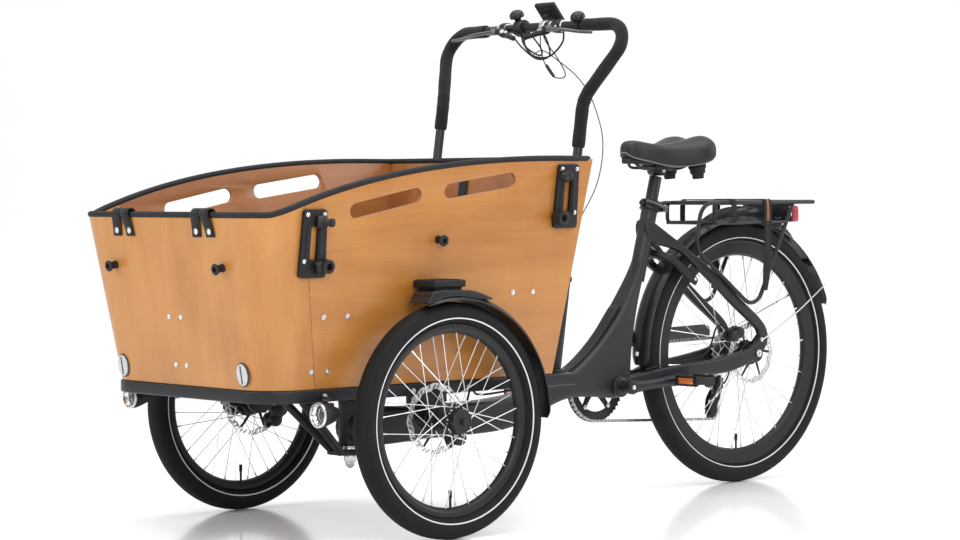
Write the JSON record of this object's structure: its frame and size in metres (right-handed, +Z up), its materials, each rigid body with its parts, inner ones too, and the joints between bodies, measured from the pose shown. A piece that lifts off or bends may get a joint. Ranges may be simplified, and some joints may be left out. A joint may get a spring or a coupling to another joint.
{
  "type": "cargo tricycle",
  "caption": "Front-loading cargo tricycle with a plywood box on a steered front axle, step-through rear frame, rear rack and a saddle.",
  "frame": {"origin": "centre of the bounding box's underside: on the ground, on the vehicle's centre plane, midway between its front and rear ends", "axes": "+X forward, +Y to the rider's left, +Z up"},
  "size_m": [2.0983, 0.872, 1.1956],
  "materials": {
    "frame_paint": "matt anthracite powder coat",
    "black_paint": "satin black powder coat",
    "black_plastic": "moulded, fine grain",
    "plywood": "clear varnished birch plywood, honey stain",
    "trim_rubber": "extruded edge trim",
    "foam": "closed-cell foam",
    "tyre_rubber": "black with a reflective sidewall line",
    "rim_black": "black anodised, with steel spokes",
    "steel": "zinc plated",
    "saddle_skin": "smooth upholstery vinyl",
    "red_lens": "clear red"
  },
  "bodies": {
    "rear_frame": {"main_frame": "frame_paint", "battery_cover": "black_plastic", "bottom_bracket": "steel", "seat_clamp": "black_paint", "rear_axle": "steel", "rear_mudguard": "black_plastic", "rear_rack": "black_paint", "tail_light": "red_lens", "ring_lock": "black_plastic", "chain_guard": "black_plastic", "chain": "steel", "derailleur": "black_plastic"},
    "front_assembly": {"front_chassis": "black_paint", "kingpin": "steel", "steering_bearing_upper": "steel", "steering_bearing_lower": "steel", "box_front_panel": "plywood", "box_left_panel": "plywood", "box_right_panel": "plywood", "box_rear_panel": "plywood", "box_floor": "plywood", "box_edge_trim": "trim_rubber", "handlebar": "black_paint", "left_grip": "foam", "right_grip": "foam", "left_mudguard": "black_plastic", "right_mudguard": "black_plastic", "left_front_bracket": "black_plastic", "right_front_bracket": "black_plastic", "left_rear_bracket": "black_plastic", "right_rear_bracket": "black_plastic"},
    "rear_wheel": {"rear_tyre": "tyre_rubber", "rear_rim": "rim_black", "rear_hub": "black_paint", "rear_rotor": "steel"},
    "front_left_wheel": {"front_left_tyre": "tyre_rubber", "front_left_rim": "rim_black", "front_left_hub": "black_paint", "front_left_rotor": "steel"},
    "front_right_wheel": {"front_right_tyre": "tyre_rubber", "front_right_rim": "rim_black", "front_right_hub": "black_paint", "front_right_rotor": "steel"},
    "sprocket_cluster": {"cassette": "steel"},
    "crank_set": {"right_crank": "black_paint", "left_crank_arm": "black_paint"},
    "left_pedal_body": {"left_pedal": "black_plastic"},
    "right_pedal_body": {"right_pedal": "black_plastic"},
    "guide_pulley_body": {"guide_pulley": "black_plastic"},
    "tension_pulley_body": {"tension_pulley": "black_plastic"},
    "seatpost_body": {"seatpost": "black_paint"},
    "saddle_body": {"saddle": "saddle_skin", "saddle_rails": "black_paint"},
    "clamp_lever_body": {"seat_clamp_lever": "black_paint"},
    "left_lever_body": {"left_brake_lever": "black_paint"},
    "right_lever_body": {"right_brake_lever": "black_paint"},
    "bench_body": {"bench_seat": "plywood"},
    "display_body": {"display": "black_plastic"},
    "left_headlight_body": {"left_headlight": "black_plastic"},
    "right_headlight_body": {"right_headlight": "black_plastic"}
  },
  "joints": [
    {"name": "steering", "type": "hinge", "parent": "rear_frame", "child": "front_assembly", "pos_m": [0.5389, 0, 0.228], "axis": [0, 0, 1], "range_deg": [-40, 40]},
    {"name": "rear_wheel_spin", "type": "hinge", "parent": "rear_frame", "child": "rear_wheel", "pos_m": [-0.7171, 0, 0.332], "axis": [0, 1, 0], "continuous": true},
    {"name": "front_left_wheel_spin", "type": "hinge", "parent": "front_assembly", "child": "front_left_wheel", "pos_m": [0.5669, 0.382, 0.256], "axis": [0, 1, 0], "continuous": true},
    {"name": "front_right_wheel_spin", "type": "hinge", "parent": "front_assembly", "child": "front_right_wheel", "pos_m": [0.5669, -0.382, 0.256], "axis": [0, 1, 0], "continuous": true},
    {"name": "crank_spin", "type": "hinge", "parent": "rear_frame", "child": "crank_set", "pos_m": [-0.2721, 0, 0.268], "axis": [0, 1, 0], "continuous": true},
    {"name": "left_pedal_spin", "type": "hinge", "parent": "crank_set", "child": "left_pedal_body", "pos_m": [-0.4367, 0.132, 0.27951], "axis": [0, 1, 0], "continuous": true},
    {"name": "right_pedal_spin", "type": "hinge", "parent": "crank_set", "child": "right_pedal_body", "pos_m": [-0.1075, -0.132, 0.25649], "axis": [0, 1, 0], "continuous": true},
    {"name": "cassette_spin", "type": "hinge", "parent": "rear_frame", "child": "sprocket_cluster", "pos_m": [-0.7171, -0.045, 0.332], "axis": [0, 1, 0], "continuous": true},
    {"name": "guide_pulley_spin", "type": "hinge", "parent": "rear_frame", "child": "guide_pulley_body", "pos_m": [-0.6991, -0.048, 0.25], "axis": [0, 1, 0], "continuous": true},
    {"name": "tension_pulley_spin", "type": "hinge", "parent": "rear_frame", "child": "tension_pulley_body", "pos_m": [-0.6761, -0.048, 0.182], "axis": [0, 1, 0], "continuous": true},
    {"name": "seatpost_slide", "type": "slide", "parent": "rear_frame", "child": "seatpost_body", "axis": [-0.2607, 0, 0.9654], "range_m": [-0.055, 0.07]},
    {"name": "saddle_tilt", "type": "hinge", "parent": "seatpost_body", "child": "saddle_body", "pos_m": [-0.43704, 0, 0.79586], "axis": [0, 1, 0], "range_deg": [-8, 8]},
    {"name": "seat_clamp_lever_swing", "type": "hinge", "parent": "rear_frame", "child": "clamp_lever_body", "pos_m": [-0.44386, 0.0205, 0.70027], "axis": [-0.2607, 0, 0.9654], "range_deg": [0, 150]},
    {"name": "left_brake_lever_pull", "type": "hinge", "parent": "front_assembly", "child": "left_lever_body", "pos_m": [0.01391, 0.099, 1.12944], "axis": [0, 0, 1], "range_deg": [0, 12]},
    {"name": "right_brake_lever_pull", "type": "hinge", "parent": "front_assembly", "child": "right_lever_body", "pos_m": [0.01391, -0.099, 1.12944], "axis": [0, 0, -1], "range_deg": [0, 12]},
    {"name": "bench_seat_fold", "type": "hinge", "parent": "front_assembly", "child": "bench_body", "pos_m": [0.1849, 0, 0.541], "axis": [0, -1, 0], "range_deg": [0, 88]},
    {"name": "display_tilt", "type": "hinge", "parent": "front_assembly", "child": "display_body", "pos_m": [-0.01802, 0.052, 1.15719], "axis": [0, 1, 0], "range_deg": [-14, 10]},
    {"name": "left_headlight_tilt", "type": "hinge", "parent": "front_assembly", "child": "left_headlight_body", "pos_m": [0.8669, 0.35, 0.303], "axis": [0, 1, 0], "range_deg": [-12, 12]},
    {"name": "right_headlight_tilt", "type": "hinge", "parent": "front_assembly", "child": "right_headlight_body", "pos_m": [0.8669, -0.35, 0.303], "axis": [0, 1, 0], "range_deg": [-12, 12]}
  ],
  "couplings": [
    {"joint": "cassette_spin", "follows": "crank_spin", "ratio": 2.4444}
  ]
}
